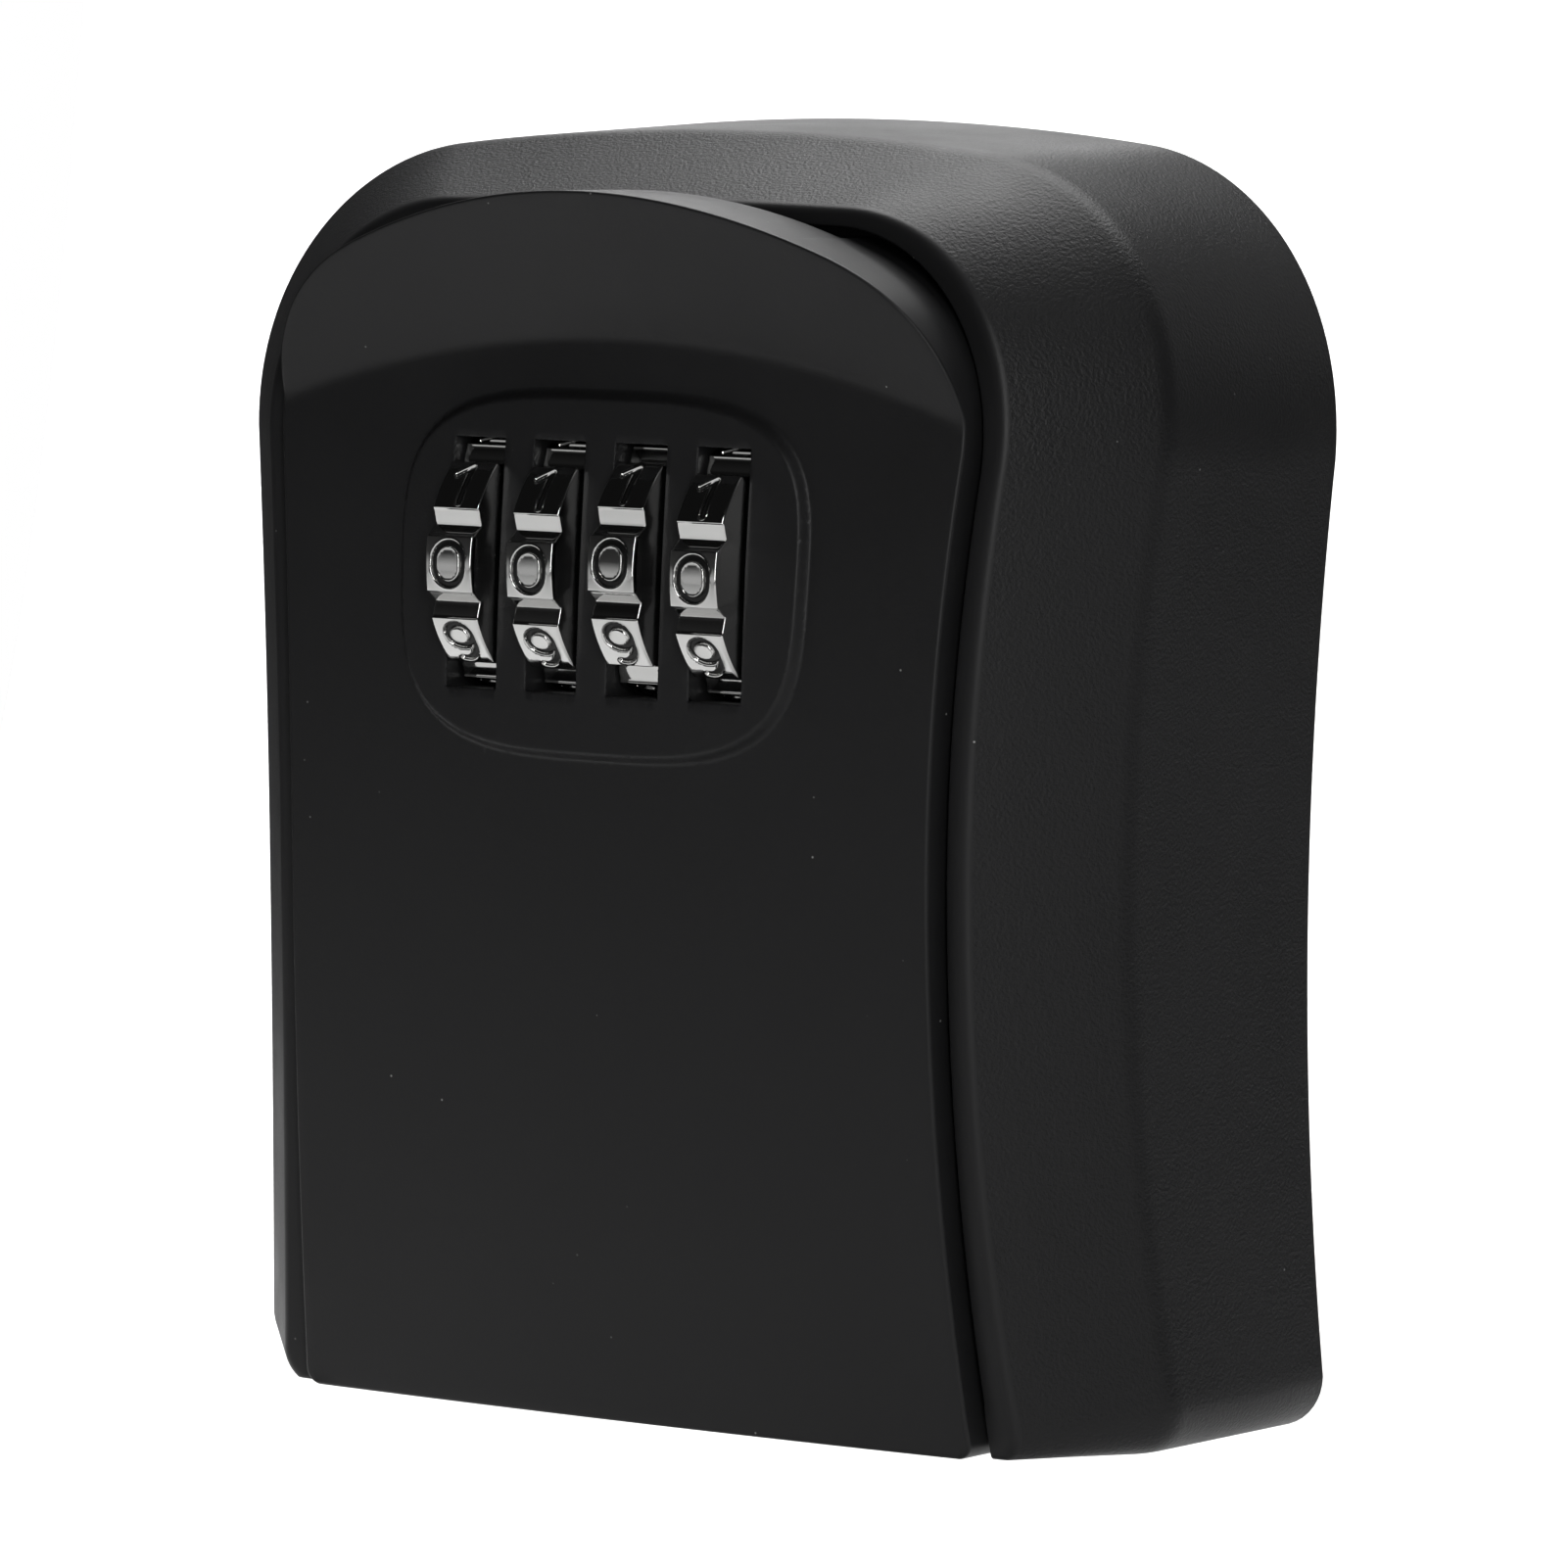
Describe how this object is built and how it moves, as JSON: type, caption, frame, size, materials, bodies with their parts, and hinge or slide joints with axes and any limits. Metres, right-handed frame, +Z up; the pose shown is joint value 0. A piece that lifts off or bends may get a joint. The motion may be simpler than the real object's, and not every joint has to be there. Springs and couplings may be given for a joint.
{
  "type": "key lock box",
  "caption": "Wall-mounted key lock box with a bottom-hinged front door, a forward-leaning finger lip and code dials in a raised pad.",
  "frame": {"origin": "middle of the flat wall face, where the back of the box meets the wall", "axes": "+Y out of the back towards the wall, so the door faces -Y; +Z up the box; +X to the right as seen from the front"},
  "size_m": [0.1054, 0.0502, 0.1211],
  "materials": {
    "black_plastic": "satin black moulded plastic with a fine spark-eroded grain",
    "inner_plastic": "matt dark grey moulded plastic",
    "chrome_dial": "bright plated zinc with engraved numbers",
    "steel": "zinc-plated steel",
    "brass": "turned brass",
    "red_plastic": "red moulded plastic"
  },
  "bodies": {
    "housing": {"housing_shell": "black_plastic", "back_plate": "steel", "plate_screw_1": "steel", "plate_screw_2": "steel", "plate_screw_3": "steel", "plate_screw_4": "steel", "strike_plate": "steel", "strike_screw_left": "steel", "strike_screw_right": "steel", "hinge_pin_left": "steel", "hinge_pin_right": "steel"},
    "door": {"door_shell": "black_plastic", "lock_case": "inner_plastic", "case_screw_1": "steel", "case_screw_2": "steel", "case_screw_3": "steel", "case_screw_4": "steel", "dial_shaft": "steel", "shaft_clip_left": "steel", "shaft_clip_right": "steel", "dial_spacer_1": "inner_plastic", "dial_spacer_2": "inner_plastic", "dial_spacer_3": "inner_plastic", "detent_spring": "steel", "latch_spring_left": "steel", "latch_spring_right": "steel"},
    "dial_1": {"number_wheel_1": "chrome_dial", "code_sleeve_1": "brass"},
    "dial_2": {"number_wheel_2": "chrome_dial", "code_sleeve_2": "brass"},
    "dial_3": {"number_wheel_3": "chrome_dial", "code_sleeve_3": "brass"},
    "dial_4": {"number_wheel_4": "chrome_dial", "code_sleeve_4": "brass"},
    "latch": {"latch_bar": "steel"},
    "reset": {"reset_lever": "red_plastic"}
  },
  "joints": [
    {"name": "door_hinge", "type": "hinge", "parent": "housing", "child": "door", "pos_m": [0, -0.033, -0.0565], "axis": [1, 0, 0], "range_deg": [0, 100]},
    {"name": "dial_1_spin", "type": "hinge", "parent": "door", "child": "dial_1", "pos_m": [0, -0.0368, 0.0198], "axis": [1, 0, 0], "continuous": true},
    {"name": "dial_2_spin", "type": "hinge", "parent": "door", "child": "dial_2", "pos_m": [0, -0.0368, 0.0198], "axis": [1, 0, 0], "continuous": true},
    {"name": "dial_3_spin", "type": "hinge", "parent": "door", "child": "dial_3", "pos_m": [0, -0.0368, 0.0198], "axis": [1, 0, 0], "continuous": true},
    {"name": "dial_4_spin", "type": "hinge", "parent": "door", "child": "dial_4", "pos_m": [0, -0.0368, 0.0198], "axis": [1, 0, 0], "continuous": true},
    {"name": "latch_slide", "type": "slide", "parent": "door", "child": "latch", "axis": [0, 0, 1], "range_m": [0, 0.0035]},
    {"name": "reset_slide", "type": "slide", "parent": "door", "child": "reset", "axis": [1, 0, 0], "range_m": [0, 0.005]}
  ]
}
